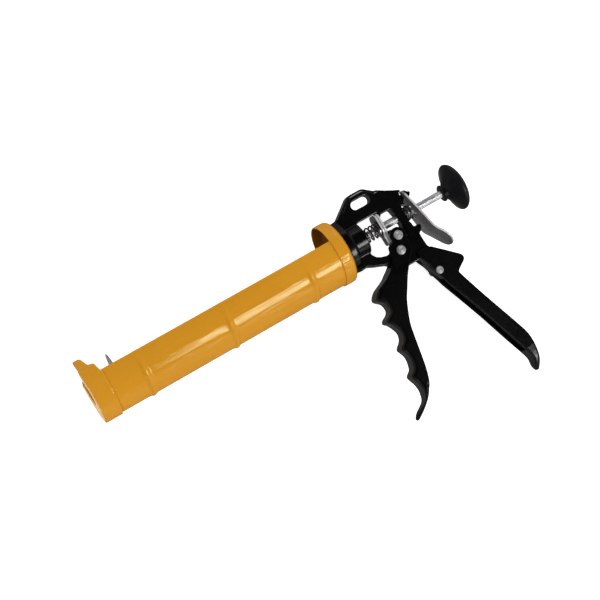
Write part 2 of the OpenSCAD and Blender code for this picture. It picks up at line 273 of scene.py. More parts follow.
def turned(name, profile, material, n=96, angle=35, matrix=None):
    """A closed turned piece. Points on the axis are merged."""
    v, f = lathe(profile, n)
    v = np.array(v)
    if matrix is not None:
        v = v @ np.array(matrix)[:3, :3].T + np.array(matrix)[:3, 3]
    ob = mesh_object(name, v, f, material)
    bm = bmesh.new()
    bm.from_mesh(ob.data)
    bmesh.ops.remove_doubles(bm, verts=bm.verts, dist=1e-7)
    bmesh.ops.dissolve_degenerate(bm, edges=bm.edges, dist=1e-8)
    bmesh.ops.recalc_face_normals(bm, faces=bm.faces)
    bm.to_mesh(ob.data)
    bm.free()
    for p in ob.data.polygons:
        p.use_smooth = True
    if angle:
        ob.data.set_sharp_from_angle(angle=math.radians(angle))
    return ob


def tube(name, path, r, material, sides=12, cap=True):
    """Round wire along a list of points."""
    p = np.array(path, float)
    t = np.gradient(p, axis=0)
    t /= np.linalg.norm(t, axis=1)[:, None]
    verts, faces = [], []
    up = np.array([1.0, 0, 0])
    for i in range(len(p)):
        a = np.cross(t[i], up)
        a /= np.linalg.norm(a)
        b = np.cross(t[i], a)
        for k in range(sides):
            g = 2 * math.pi * k / sides
            verts.append(p[i] + r * (math.cos(g) * a + math.sin(g) * b))
    for i in range(len(p) - 1):
        for k in range(sides):
            l = (k + 1) % sides
            faces.append((i * sides + k, i * sides + l, (i + 1) * sides + l, (i + 1) * sides + k))
    if cap:
        faces.append(tuple(range(sides))[::-1])
        faces.append(tuple((len(p) - 1) * sides + k for k in range(sides)))
    return mesh_object(name, verts, faces, material, angle=60)


def spin_x(v, a):
    v = np.asarray(v, float)
    c, s = math.cos(a), math.sin(a)
    return np.stack([v[:, 0], v[:, 1] * c - v[:, 2] * s, v[:, 1] * s + v[:, 2] * c], 1)


# ---------------------------------------------------------------- materials
def srgb(r, g, b):
    def f(c):
        c /= 255
        return c / 12.92 if c <= 0.04045 else ((c + 0.055) / 1.055) ** 2.4
    return (f(r), f(g), f(b), 1)


class Mat:
    """A small node builder round one Principled shader."""

    def __init__(self, name, rough, metallic=0.0, coat=0.0, coat_rough=0.1, spec=0.5):
        self.m = bpy.data.materials.new(name)
        self.m.use_nodes = True
        self.t = self.m.node_tree
        self.b = self.t.nodes["Principled BSDF"]
        self.b.inputs["Metallic"].default_value = metallic
        self.b.inputs["Roughness"].default_value = rough
        self.b.inputs["Coat Weight"].default_value = coat
        self.b.inputs["Coat Roughness"].default_value = coat_rough
        self.b.inputs["Specular IOR Level"].default_value = spec
        self.co = self.t.nodes.new("ShaderNodeTexCoord")
        self.h = None

    def new(self, kind, **kw):
        n = self.t.nodes.new(kind)
        for k, v in kw.items():
            setattr(n, k, v)
        return n

    def link(self, a, b):
        self.t.links.new(a, b)

    def noise(self, scale, detail=3, rough=0.5, stretch=None, seed=0.0):
        n = self.new("ShaderNodeTexNoise")
        n.inputs["Scale"].default_value = scale
        n.inputs["Detail"].default_value = detail
        n.inputs["Roughness"].default_value = rough
        mp = self.new("ShaderNodeMapping")
        mp.inputs["Location"].default_value = (seed, seed * 0.7, -seed)
        if stretch:
            mp.inputs["Scale"].default_value = stretch
        self.link(self.co.outputs["Object"], mp.inputs["Vector"])
        self.link(mp.outputs["Vector"], n.inputs["Vector"])
        return n.outputs["Fac"]

    def ramp(self, fac, stops):
        r = self.new("ShaderNodeValToRGB")
        e = r.color_ramp.elements
        while len(e) < len(stops):
            e.new(0.5)
        for el, (p, c) in zip(e, stops):
            el.position, el.color = p, c
        self.link(fac, r.inputs["Fac"])
        return r.outputs["Color"]

    def remap(self, fac, a, b, c, d):
        m = self.new("ShaderNodeMapRange")
        for i, v in zip(("From Min", "From Max", "To Min", "To Max"), (a, b, c, d)):
            m.inputs[i].default_value = v
        self.link(fac, m.inputs["Value"])
        return m.outputs["Result"]

    def mix(self, fac, a, b, mode="MIX"):
        m = self.new("ShaderNodeMix", data_type="RGBA", blend_type=mode)
        for sock, v in ((m.inputs["Factor"], fac), (m.inputs["A"], a), (m.inputs["B"], b)):
            if hasattr(v, "default_value") or hasattr(v, "links"):
                self.link(v, sock)
            else:
                sock.default_value = v
        return m.outputs["Result"]

    def math(self, op, a, b=0.0):
        m = self.new("ShaderNodeMath", operation=op)
        for sock, v in zip(m.inputs, (a, b)):
            if hasattr(v, "links"):
                self.link(v, sock)
            else:
                sock.default_value = v
        return m.outputs["Value"]

    def bump(self, fac, strength, dist):
        n = self.new("ShaderNodeBump")
        n.inputs["Strength"].default_value = strength
        n.inputs["Distance"].default_value = dist
        self.link(fac, n.inputs["Height"])
        if self.h is not None:
            self.link(self.h, n.inputs["Normal"])
        self.h = n.outputs["Normal"]
        self.link(self.h, self.b.inputs["Normal"])

    def edge(self, lo, hi):
        g = self.new("ShaderNodeNewGeometry")
        return self.remap(g.outputs["Pointiness"], lo, hi, 0, 1)

    def color(self, out):
        self.link(out, self.b.inputs["Base Color"])

    def rough(self, out):
        self.link(out, self.b.inputs["Roughness"])


def paint_material(name="orange_paint", tone=1.0):
    k = Mat(name, 0.13, coat=0.0, spec=0.5)
    k.b.inputs["Specular Tint"].default_value = (0.84, 0.93, 0.58, 1)
    big = k.noise(14, 2, 0.5, seed=2)
    fine = k.noise(260, 4, 0.6, seed=5)
    base = k.ramp(big, [(0.3, srgb(214 * tone, 146 * tone, 34)), (0.7, srgb(221 * tone, 153 * tone, 40))])
    base = k.mix(k.remap(fine, 0.35, 0.7, 0, 0.25), base, srgb(207 * tone, 141 * tone, 28))
    speck = k.noise(900, 2, 0.5, seed=9)
    base = k.mix(k.remap(speck, 0.70, 0.76, 0, 0.35), base, srgb(160, 98, 22))
    k.color(base)
    k.rough(k.remap(fine, 0.3, 0.7, 0.045, 0.09))
    k.bump(k.noise(330, 2, 0.5, seed=3), 0.05, 0.0003)
    k.bump(k.noise(420, 3, 0.55, stretch=(0.035, 1, 1), seed=7), 0.35, 0.0009)
    return k.m


def casting_material(name="black_enamel", tone=3, rough=0.2):
    k = Mat(name, rough, coat=0.0, spec=0.36)
    big = k.noise(40, 3, 0.5, seed=1)
    fine = k.noise(700, 4, 0.6, seed=4)
    base = k.ramp(big, [(0.3, srgb(tone - 2, tone - 2, tone - 2)), (0.7, srgb(tone + 4, tone + 4, tone + 5))])
    base = k.mix(k.remap(fine, 0.62, 0.75, 0, 0.5), base, srgb(17, 16, 16))
    base = k.mix(k.math("MULTIPLY", k.edge(0.56, 0.66), k.remap(big, 0.4, 0.65, 0, 0.5)), base, srgb(46, 44, 43))
    k.color(base)
    k.rough(k.remap(fine, 0.3, 0.7, rough - 0.05, rough + 0.07))
    k.bump(k.noise(520, 3, 0.55, seed=8), 0.08, 0.0003)
    k.bump(k.noise(110, 2, 0.5, seed=6), 0.10, 0.0008)
    return k.m


def steel_material(name, lo, hi, rough=0.3, stretch=(1, 1, 1), scale=160, dark=(70, 68, 66), metal=1.0, bumps=0.12):
    k = Mat(name, rough, metallic=metal)
    streak = k.noise(scale, 5, 0.62, stretch=stretch, seed=3)
    big = k.noise(60, 3, 0.5, seed=6)
    base = k.ramp(streak, [(0.32, srgb(*lo)), (0.68, srgb(*hi))])
    base = k.mix(k.remap(big, 0.5, 0.75, 0, 0.35), base, srgb(*dark))
    k.color(base)
    k.rough(k.remap(streak, 0.3, 0.7, rough + 0.1, rough - 0.06))
    k.bump(streak, bumps, 0.0002)
    return k.m


def plastic_material():
    k = Mat("black_plastic", 0.32, spec=0.35)
    big = k.noise(45, 2, 0.5, seed=2)
    fine = k.noise(900, 3, 0.6, seed=5)
    k.color(k.ramp(big, [(0.3, srgb(8, 8, 11)), (0.7, srgb(14, 14, 19))]))
    k.rough(k.remap(fine, 0.3, 0.7, 0.26, 0.4))
    k.bump(fine, 0.08, 0.0002)
    return k.m


PAINT = paint_material()
# darker copy of the orange paint, used on the collar's inner face: painted shade
PAINT_SHADED_INSIDE = paint_material("orange_paint_painted_shade_inside", 0.62)
CAST = casting_material()
PLASTIC = plastic_material()
STEEL = steel_material("bright_steel", (176, 176, 178), (222, 222, 224), 0.26)
ROD = steel_material("drawn_steel", (150, 150, 152), (206, 206, 208), 0.34, (0.3, 1, 1), 420, metal=0.85)
WIRE = steel_material("spring_wire", (56, 56, 57), (124, 124, 126), 0.38)
PLATE = steel_material("hard_plate", (104, 104, 105), (146, 146, 147), 0.42, metal=0.8)
LEVER = steel_material("lever_steel", (150, 150, 152), (180, 180, 182), 0.42, (1, 1, 1), 500, metal=0.72)
# lighter, rougher steel for cut edges; it goes only on edges facing +z, the lit side: partly a real sheared edge,
# partly a painted highlight
SHEARED_EDGE_AND_HIGHLIGHT = steel_material("sheared_edge_and_painted_highlight", (196, 196, 196), (232, 232, 232), 0.38, (1, 1, 1), 500, (150, 150, 150), metal=0.35)
RIVET = steel_material("rivet_steel", (150, 149, 148), (205, 204, 203), 0.38, (1, 1, 1), 420, (78, 76, 74), metal=0.5, bumps=0.1)
ZINC = steel_material("zinc_plate", (168, 161, 176), (204, 200, 214), 0.4, metal=0.45)


# ---------------------------------------------------- cradle: pressed sheet
def bead_height(x):
    h = 0.0
    for b in BEADS:
        d = abs(x - b)
        if d < 3.7:
            h += 1.2 * (0.5 + 0.5 * math.cos(math.pi * d / 3.7)) ** 1.05
    return h


def trough():
    phi_m = math.pi / 2 + math.asin(EDGE_H / R_OUT)
    xs = [0.2]
    x = 0.2
    while x < 222.5 - 0.3:
        near = min(abs(x - b) for b in BEADS)
        x += 0.5 if near < 6.5 else (0.22 if 12.4 < x < 15.4 else 1.6)
        xs.append(min(x, 222.5))
    if xs[-1] < 222.5:
        xs.append(222.5)
    xs = np.array(xs)
    nph = 150
    ph = np.linspace(-phi_m, phi_m, nph + 1)
    rnd = np.random.RandomState(5)
    waves = [(rnd.uniform(0.035, 0.11), rnd.uniform(0, 6.28), rnd.uniform(1.0, 4.2), rnd.uniform(0, 6.28)) for _ in range(9)]

    # gentle lengthwise rolling marks: angle, width, height, drift, its rate, phase
    flutes = [(67, 1.6, 0.5, 0.8, 0.05, 0.3), (61, 1.3, -0.45, 0.7, 0.07, 1.9), (54, 1.7, 0.55, 0.5, 0.04, 3.1),
              (47.5, 1.2, 0.8, 0.4, 0.05, 4.0), (41, 1.5, -0.7, 0.5, 0.06, 5.2), (34, 2.0, 0.6, 0.6, 0.04, 0.9),
              (76, 2.2, -0.35, 0.8, 0.04, 2.2), (20, 2.4, 0.6, 0.8, 0.05, 1.1), (-30, 2.2, 0.6, 0.7, 0.05, 2.8),
              (-55, 1.8, -0.6, 0.8, 0.04, 0.2), (2, 2.2, -0.5, 0.6, 0.05, 3.7)]

    def wave(x, p):
        w = sum(np.sin(a * x + b + 1.3 * np.sin(c * p + d)) * np.sin(c * p + d) for a, b, c, d in waves) / 9
        edge = np.ones_like(x)
        for b in BEADS:
            edge = edge * sstep(2.0, 14.0, np.abs(x - b))
        for p0, sg, am, dr, fr, ph0 in flutes:
            c = math.radians(p0) + math.radians(dr) * np.sin(fr * x + ph0)
            w = w + am * np.exp(-((p - c) / math.radians(sg)) ** 2) * (0.6 + 0.4 * np.sin(fr * 1.7 * x + ph0 * 2))
        return 0.095 * w * edge * sstep(14, 24, x) * (1 - sstep(214, 219, x))

    X, P = np.meshgrid(xs, ph, indexing="ij")
    fade = 0.16 + 0.84 * (1 - sstep(math.radians(62), math.radians(92), np.abs(P)))
    H = np.array([bead_height(v) for v in xs])[:, None] * fade
    # the seam behind the cap's edge
    H = H - (0.5 * np.exp(-((xs - 13.8) / 0.42) ** 2))[:, None]
    Hi = H * 0.92
    W = wave(X, P)
    ro, ri = R_OUT + H + W, R_OUT - T_SHEET + Hi + W
    # long edges: a strip of faces joins the two skins; the bevel below rounds them
    def skin(r, p):
        return np.stack([X, -r * np.cos(p), r * np.sin(p)], -1).reshape(-1, 3)
    vo, vi = skin(ro, P), skin(ri, P)
    # local to part: phi runs from the far edge to the near one
    n, m = X.shape
    verts = np.concatenate([vo, vi])
    faces = []
    off = n * m
    for i in range(n - 1):
        for j in range(m - 1):
            a, b, c, d = i * m + j, i * m + j + 1, (i + 1) * m + j + 1, (i + 1) * m + j
            faces.append((a, d, c, b))
            faces.append((off + a, off + b, off + c, off + d))
    for i in range(n - 1):
        a, b = i * m, (i + 1) * m
        faces.append((a, off + a, off + b, b))
        a, b = i * m + m - 1, (i + 1) * m + m - 1
        faces.append((a, b, off + b, off + a))
    for j in range(m - 1):
        faces.append((j, j + 1, off + j + 1, off + j))
        a = (n - 1) * m + j
        faces.append((a, off + a, off + a + 1, a + 1))
    ob = mesh_object("cradle_sheet", spin_x(verts, TURN * -1), faces, PAINT)
    bv = ob.modifiers.new("edge", "BEVEL")
    bv.width, bv.segments, bv.limit_method, bv.angle_limit = 0.22 * MM, 2, "ANGLE", math.radians(60)
    bv.harden_normals = False
    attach(ob, "cradle")
    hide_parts("barrel_trough")
    return ob


def collar():
    prof = [(220.9, 26.30)] + [(220.5 + 0.5 - 0.5 * math.cos(math.radians(a)), 26.8 + 0.55 * math.sin(math.radians(a)))
                               for a in (-60, -30, 0, 30, 60)]
    prof += [(221.2, 27.35), (224, 27.38), (227.0, 27.35), (228.4, 27.3)]
    prof += [(228.4 + 3.8 * math.sin(math.radians(a)), 23.5 + 3.8 * math.cos(math.radians(a))) for a in (12, 24, 36, 48, 60, 72, 82, 90)]
    prof += [(232.2, 22.5), (232.2, 13.2), (232.1, 12.5), (231.7, 12.07), (230.9, 12.07), (230.8, 12.5), (230.8, 23.4)]
    prof += [(227.9 + 2.9 * math.sin(math.radians(a)), 23.4 + 2.9 * math.cos(math.radians(a))) for a in (75, 60, 45, 30, 15, 0)]
    ob = turned("swivel_collar", prof, PAINT, 128, 40)
    ob.data.materials.append(PAINT_SHADED_INSIDE)
    # the collar's inner faces take the darker copy: painted shade inside the ring
    for p in ob.data.polygons:
        c = p.center / MM
        if math.hypot(c.y, c.z) < 26.6 and c.x < 231.2 and (c.x > 221 or p.normal.x > -0.2):
            p.material_index = 1
    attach(ob, "cradle")
    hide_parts("barrel_collar")
    return ob


def cap():
    prof_x = [(-30, 13.2), (4.8, 13.1), (5.6, 12.7), (8.6, 11.9), (11.2, 11.6), (12.5, 11.2), (13.4, 10.3), (13.8, 9.0),
              (14.0, 7.7), (14.6, 6.6), (17.0, 5.8), (20.0, 5.2), (22.6, 4.6), (23.9, 3.9), (24.5, 3.2), (24.7, 2.4)]
    py, px = np.array([p[0] for p in prof_x]), np.array([p[1] for p in prof_x])

    def fn(x, y, z):
        # part frame to the cradle's own frame
        c, s = math.cos(TURN), math.sin(TURN)
        yl, zl = y * c - z * s, z * c + y * s
        r = np.hypot(yl, zl)
        # rear edge of the wall as a function of height
        grid = np.linspace(-30, 24.9, 600)
        xe = np.interp(yl, py, px)
        slope = np.interp(yl, grid, np.gradient(np.interp(grid, py, px), 54.9 / 599))
        rear = (x - xe) / np.sqrt(1 + slope * slope)
        # cup: outer skin with a full round at the front rim, hollow inside
        lip = 0.75 * sstep(-8, 9, yl) * sstep(2, 14, zl)
        a, b = -1.6 - lip - x + 0.9, r - 27.42 + 0.9
        outer = np.hypot(np.maximum(a, 0), np.maximum(b, 0)) + np.minimum(np.maximum(a, b), 0) - 0.9
        hollow = smax(-x, r - 26.3, 0.8)
        slot = np.where(yl < 0, r, np.abs(zl)) - 10.8
        cup = smax(outer, -hollow, 0.25)
        cup = smax(cup, -slot, 0.4)
        cup = smax(cup, yl - 12.6, 0.4)
        # bare sheet horns above the front plate: the left one is flared forwards
        near = np.interp(yl, [-40, 9.0, 11.5, 14.0, 17.0, 20.0, 23.4, 24.6, 30], [-2.3, -2.5, -2.55, -2.3, -2.4, -2.5, -2.1, -1.6, -1.6])
        far = np.interp(yl, [-40, 12.5, 15.0, 30], [-1.6, -1.4, 1.2, 3.0])
        horn = smax(np.abs(r - 26.7) - 0.7, (np.where(zl > 0, near, far) - x) * 0.9, 0.2)
        horn = smax(horn, 11.5 - yl, 0.2)
        body = smin(cup, horn, 0.8)
        body = smax(body, rear, 0.3)
        return smax(body, yl - 24.8, 0.6)

    ob = sdf_object("nose_cap", fn, (-3.0, -27.6, -27.6), (13.4, 27.6, 27.6), 0.33, PAINT, 4)
    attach(ob, "cradle")
    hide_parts("front_cap")
    return ob


# ------------------------------------------------------------ cast outlines
FRAME_OUT = [
    (234, 22.3), (237.6, 22.8), (241, 23.4), (249.5, 29.6), (256.8, 35), (258.6, 35.9),
    (260.5, 36.2), (269.6, 36.2), (271.6, 35.8), (273.4, 34.7), (280, 29.7), (282.3, 29.2),
    (288.7, 25.6), (295.4, 22.3), (299.4, 20.6), (300.4, 19.7), (300.3, 18.6), (298.5, 18.3), (298.5, 17.4), (298.1, 16.8), (298.1, 8), (297.4, 7.3),
    (294.6, 7.3), (294.6, -7.2), (295.2, -8.2), (295.6, -11.6), (296.5, -12.3), (301.1, -12.3),
    (301.6, -13), (301.5, -15), (299.8, -17.9), (297.3, -19.4), (297.3, -24.6), (297.9, -31.1), (299.2, -33.2),
    (303.5, -40), (305, -46), (302, -54), (303, -62), (296.5, -62), (291, -50),
    (288.6, -40.5), (286.4, -38.3), (277.5, -38.4), (273, -38.5), (267.6, -36.8),
    (264.4, -34.4), (262.2, -31), (259.6, -29), (250.8, -25.6), (244.4, -22.6), (238, -23.2), (234, -22.3)]
WINDOW = [
    (250.8, 12.6), (273, 12.6), (273.7, 11.8), (273.9, 8.9), (274.5, 8.2), (275.3, 9.4),
    (275.9, 9.7), (284.6, 9.7), (285.5, 8.9), (286.7, 3.7), (287.7, -5.7), (287.6, -15),
    (285.5, -17.6), (282.4, -18.6), (279.8, -18.2), (277.4, -17.2), (274.6, -16.7), (272.4, -17.3),
    (270.9, -18.9), (270, -20.9), (267.6, -22.4), (262.6, -22.1), (258.2, -20.9), (254.6, -19), (252.2, -15.6), (251.6, -12.2),
    (253.6, -6.8), (253.5, -6), (250.8, -6)]
HANDLE = [(288, -41.8), (290.6, -47), (292.5, -53.6), (295.2, -61.2), (304.2, -83.9),
          (313.3, -106.8), (322.6, -132.3), (329.6, -151), (331, -158), (329.8, -163.6),
          (330, -167.4), (332, -168.2), (334, -163.9), (336.2, -157), (337.3, -147), (336.6, -136.5), (333, -125.5),
          (324, -102.4), (315, -79), (310.6, -67)]
HANDLE_OUT = run(HANDLE[:11], 4) + run(HANDLE[11:], 4) + [
    (309.6, -63.2), (311, -61.6), (318.8, -56.7), (319.9, -54.6), (319.9, -52.8),
    (318.8, -51), (309.2, -42.2), (301.2, -35.2), (299.6, -33.6), (298.6, -33.2),
    (293, -31.6), (286.4, -32.5), (285.6, -36.5)]
TRIG_FRONT = run([(262.5, -30.9), (258, -34.4), (251.2, -38.9), (241.8, -43), (238, -46.4),
    (236.3, -49.6), (238.2, -52.2), (241.3, -55), (242.8, -59.8), (242, -63.6), (239.4, -65.9),
    (236, -67.8), (234.8, -70.2), (237.6, -73.1), (239.9, -77.3), (241.6, -82.2), (241.2, -86.4),
    (239.4, -89.8), (235.8, -93), (234.6, -95.5), (236.1, -98.8), (237.4, -103), (237, -108.7),
    (235.3, -114), (231.8, -116.9), (230.7, -119.4), (233.2, -126), (234.1, -131.9),
    (233.6, -136), (231.6, -140.9), (226.9, -144.2), (222.2, -146.6), (219.1, -149.2)], 3)
TRIG_REAR = run([(218, -150.9), (218.9, -152), (222.4, -149.8), (226.8, -146.3), (232.6, -140.6),
    (237.4, -134.2), (240.6, -128.2), (243.8, -117.6), (246, -105.4), (248.7, -89.2),
    (250.5, -80.1), (253.7, -71.2), (258, -61.4), (262.1, -54.9), (266.4, -48.3), (270.7, -42.6), (273.2, -39.4)], 3)
TRIG_OUT = TRIG_FRONT + TRIG_REAR + [(279, -33), (283, -27.5), (284.4, -23), (285.2, -15), (278.8, -11.9), (266.5, -17)]


def tip_width(x, y, p, turn, w, blunt=False):
    """Half width left to a grip near its tip at p, which narrows to the end."""
    a = math.radians(turn)
    d = (x - p[0]) * math.cos(a) + (y - p[1]) * math.sin(a)
    if blunt:
        return np.interp(d, [-5, 0, 0.5, 2, 4.2, 6, 8, 10, 12.5, 16, 22, 260], [0.6, 1.4, 2.6, 4.0, 5.6, 6.7, 7.5, 8.1, 8.6, 9.0, w, w])
    return np.interp(d, [-5, 0, 0.5, 2, 4.2, 8.4, 15, 22, 260], [0.3, 0.8, 1.9, 3.1, 4.4, 6.1, 8.1, w, w])


def frame_casting():
    def fn(x, y, z):
        xx, yy = x[:, :, 0], y[:, :, 0]
        d_out = poly_sdf(FRAME_OUT, xx, yy)
        d_win = poly_sdf(WINDOW, xx, yy)
        # hanging slot
        sx = np.clip(xx, 260.2, 270.8)
        d_slot = np.hypot(xx - sx, yy - 26.5) - 3.75
        flat = smax(d_out, -d_win, 0.8)
        body = prism(flat[:, :, None], z, 6.0, 0.9)
        # the hood's web lies a little below the window's thick border
        panel = np.maximum(np.maximum(d_out + 1.9, 18.1 - yy), 246 - xx)
        panel = np.maximum(panel, (xx - 283.6) * 0.86 + (yy - 18.1) * 0.5 - 3.4)
        rec = smax(panel[:, :, None], 5.62 - np.abs(z), 0.5)
        body = smax(body, -rec, 0.5)
        # the hanging slot, cut right through
        body = smax(body, -prism(d_slot[:, :, None], z, 12, 0.1), 0.9)
        r = np.hypot(y, z)
        flange = smax(r - 22.6, np.abs(x - 235.35) - 2.95, 0.9)
        neck = smax(r - 13.9, x - 253.5, 0.9)
        neck = np.maximum(neck, 236 - x)
        ring = smax(r - 15.1, np.abs(x - 239.6) - 1.7, 1.0)
        neck = smin(neck, ring, 1.2)
        barrel = smin(flange, neck, 2.2)
        body = smin(body, barrel, 1.0)
        # a spigot in front of the flange, with a ring groove cut round it
        spig = np.maximum(r - 11.98, np.abs(x - 230.4) - 3.4)
        groove = np.maximum(11.0 - r, np.abs(x - 229.85) - 0.72)
        spig = np.maximum(spig, -groove)
        body = np.minimum(body, spig)
        hook = prism(poly_sdf([(290, 16), (290, 11), (303.6, 11), (303.6, 16)], xx, yy)[:, :, None], z, 2.7, 0.4)
        lug = prism(poly_sdf([(301.6, 18.2), (303, 18.4), (304.6, 17.6), (305.8, 16), (307.8, 15.2), (307.9, 14.2), (306.3, 11.8), (304.6, 11), (303, 11)], xx, yy)[:, :, None], z, 4.5, 0.8)
        body = smin(body, np.minimum(hook, lug), 0.5)
        body = smax(body, 3.75 - r, 0.3)
        return body

    ob = sdf_object("cast_frame", fn, (227, -62.2, -22.8), (309, 36.6, 22.8), 0.5, CAST, 3)
    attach(ob, "frame")
    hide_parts("frame_casting")
    return ob


def handle():
    tongue = [(270, -20), (310, -20), (310, -43), (306.6, -44), (306, -46), (304, -54), (305, -63.5), (290, -63.5), (270, -40)]
    channel = [(280, -60), (303.5, -63), (307.3, -70), (311, -80), (320, -103), (329, -127), (331.6, -137), (332, -146), (326, -150), (300, -110)]

    def fn(x, y, z):
        xx, yy = x[:, :, 0], y[:, :, 0]
        d = poly_sdf(HANDLE_OUT, xx, yy) - 0.4 * sstep(-60, -68, yy)
        w = tip_width(xx, yy, (331, -168.4), 99, 9.5, True)[:, :, None]
        r = (1.1 + 0.9 * sstep(-70, -90, yy))[:, :, None]
        body = prism(d[:, :, None], z, w, r)
        body = smax(body, -prism(poly_sdf(tongue, xx, yy)[:, :, None], z, 6.03, 0.02), 0.2)
        body = smax(body, -prism(poly_sdf(channel, xx, yy)[:, :, None], z, 6.1, 1.2), 0.6)
        return body

    ob = sdf_object("grip_handle", fn, (285, -169, -9.8), (320.5 + 18, -31, 9.8), 0.5, CAST, 3)
    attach(ob, "frame")
    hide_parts("rear_handle")
    return ob


def trigger():
    pocket = [(256, 0), (292, 0), (292, -44), (276, -44), (268, -52), (262, -62), (256, -74), (253, -90), (250, -106), (246, -122), (239, -124),
              (236.5, -119.5), (240, -114), (241.4, -104), (239, -95.5), (243.6, -90), (245.6, -82),
              (240, -70.4), (244.6, -66), (246.8, -59.6), (241, -50), (244, -46.4), (253, -42.2),
              (260, -37.4), (262.6, -33.4), (261.5, -29.5), (256, -27)]

    def fn(x, y, z):
        xx, yy = x[:, :, 0], y[:, :, 0]
        d = poly_sdf(TRIG_OUT, xx, yy) - 0.45 * sstep(-42, -52, yy)
        d = np.minimum(d, np.hypot(xx - DRIVE[0], yy - DRIVE[1]) - 6.9)
        d = np.minimum(d, np.hypot(xx - 275, yy + 23.4) - 9.4)
        df = line_dist(TRIG_FRONT[6:-2], xx, yy)
        w = tip_width(xx, yy, (218.2, -152), 52, 10.0)
        ear = sstep(-41, -35, yy) * sstep(258, 268, xx + 0.55 * (yy + 40))
        w = np.minimum(w, 10.0 - 0.6 * ear)[:, :, None]
        r = (0.9 + 2.1 * (1 - sstep(3.5, 7.5, df)) * sstep(-34, -46, yy))[:, :, None]
        r = np.minimum(r, w * 0.6)
        body = prism(d[:, :, None], z, w, r)
        pk = poly_sdf(pocket, xx, yy)
        pk = np.minimum(pk, np.hypot(xx - PIVOT[0], yy - PIVOT[1]) - 15.5)
        body = smax(body, -prism(pk[:, :, None], z, 6.35, 0.4), 0.5)
        small = poly_sdf([(250, 5), (250, -26.4), (266.4, -26.4), (268.6, -23.6), (271, -21), (272.8, -17.2),
                          (274.4, -13), (274.4, -9), (276.4, -5.4), (276.4, 5)], xx, yy)
        body = smax(body, -smax(small[:, :, None], z + 6.2, 0.4), 0.6)
        return body

    ob = sdf_object("finger_trigger", fn, (216, -153, -10.4), (287, -4.4, 10.4), 0.5, CAST, 3)
    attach(ob, "trigger")
    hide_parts("trigger")
    return ob


# ------------------------------------------------------------- steel pieces
def dome_profile(r, h):
    """Rivet head, from its rim to the top, as (height, radius)."""
    p = [(0, r * 0.98), (h * 0.25, r), (h * 0.5, r * 0.97), (h * 0.72, r * 0.88), (h * 0.88, r * 0.74),
         (h * 0.95, r * 0.62), (h * 0.93, r * 0.55), (h * 0.82, r * 0.50), (h * 0.80, r * 0.44), (h * 0.9, r * 0.38),
         (h * 1.0, r * 0.28), (h * 1.03, r * 0.14), (h * 1.03, 0)]
    return p


def rivet(name, p, shaft, head, hz, h, body, node):
    prof = [(-hz - x, r) for x, r in dome_profile(head, h)][::-1] + [(-hz, shaft), (hz, shaft)] + [(hz + x, r) for x, r in dome_profile(head, h)]
    m = Matrix(((0, 1, 0, p[0]), (0, 0, 1, p[1]), (1, 0, 0, 0), (0, 0, 0, 1)))
    ob = turned(name, prof, RIVET, 48, 50, m)
    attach(ob, body)
    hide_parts(node)
    return ob


def plate(name, x0, t, node):
    lean = math.radians(1.5)

    def fn(x, y, z):
        # z of the grid is across the gun, x is through the plate
        hull = [(math.copysign(4, s) + 4.5 * math.cos(a), 7.7 + 4.5 * math.sin(a)) for s, a in
                [(1, math.radians(d)) for d in (0, 15, 30, 45, 60, 75, 90)] + [(-1, math.radians(d)) for d in (90, 105, 120, 135, 150, 165, 180)]]
        hull += [(math.copysign(3.4, s) + 5.1 * math.cos(a), -1.6 + 5.1 * math.sin(a)) for s, a in
                 [(-1, math.radians(d)) for d in (180, 195, 210, 225, 240)]]
        hull += [(-4.5, -7), (-4.5, -13.7), (-4.0, -15.0), (-2.5, -15.7), (2.5, -15.7), (4.0, -15.0), (4.5, -13.7), (4.5, -7)]
        hull += [(math.copysign(3.4, s) + 5.1 * math.cos(a), -1.6 + 5.1 * math.sin(a)) for s, a in
                 [(1, math.radians(d)) for d in (300, 315, 330, 345, 360)]]
        d = poly_sdf(hull, z[0], y[0])[None]
        hole = np.hypot(y[0] - 0.0, z[0]) - 4.15
        d = smax(d, -hole[None] + 0 * d, 0.25)
        a, b = d + 0.6, np.abs(x - t / 2) - t / 2 + 0.6
        return np.hypot(np.maximum(a, 0), np.maximum(b, 0)) + np.minimum(np.maximum(a, b), 0) - 0.6

    def place(v):
        y0 = v[:, 1] - 12.3
        c, s = math.cos(lean), math.sin(lean)
        return np.stack([x0 + v[:, 0] * c - y0 * s, 12.3 + v[:, 0] * s + y0 * c, v[:, 2]], 1)

    ob = sdf_object(name, fn, (0, -16, -8.6), (t, 12.4, 8.6), 0.24, PLATE, 3, place)
    ob.data.materials.append(SHEARED_EDGE_AND_HIGHLIGHT)
    # rim faces turned towards +z take the lighter edge steel: painted highlight on the lit side; the far rim keeps the
    # plate steel
    for p in ob.data.polygons:
        if abs(p.normal.x) < 0.85 and p.normal.z > 0.1 and math.hypot(p.center.y, p.center.z) > 5.5 * MM:
            p.material_index = 1
    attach(ob, "drive")
    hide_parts(node)
    return ob


LEVER_MID = [(298.9, 18.2), (300.8, 9.6), (303.1, -1), (305.3, -12), (306.6, -18), (308.3, -22.4),
             (311.9, -27.4), (315.2, -33), (317, -37.6), (317.7, -40.8)]


